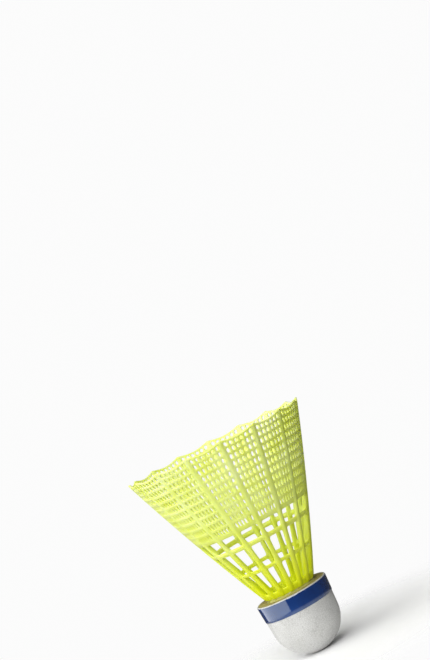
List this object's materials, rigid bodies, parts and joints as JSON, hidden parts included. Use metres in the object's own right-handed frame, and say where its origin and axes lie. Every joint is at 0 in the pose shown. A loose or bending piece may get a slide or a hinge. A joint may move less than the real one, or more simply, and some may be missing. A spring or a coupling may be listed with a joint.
{
  "type": "badminton shuttlecock",
  "caption": "Badminton shuttlecock: flared translucent nylon lattice skirt glued into a rounded cork base with a white skin and a blue tape band.",
  "frame": {"origin": "the tip of the rounded nose, on the axis, at the lowest point of the base", "axes": "+Z along the axis from the nose of the base to the mouth of the skirt; one stem lies over +X"},
  "size_m": [0.0674, 0.0674, 0.0824],
  "materials": {
    "skirt_nylon": "translucent fluorescent yellow-green moulded nylon",
    "glue": "cured clear amber adhesive",
    "cork": "agglomerated cork",
    "cover_skin": "white grained synthetic leather",
    "tape": "glossy blue tape"
  },
  "bodies": {
    "root": {"skirt": "skirt_nylon", "root_glue": "glue", "base_core": "cork", "base_cover": "cover_skin", "ribbon_band": "tape"}
  },
  "joints": []
}
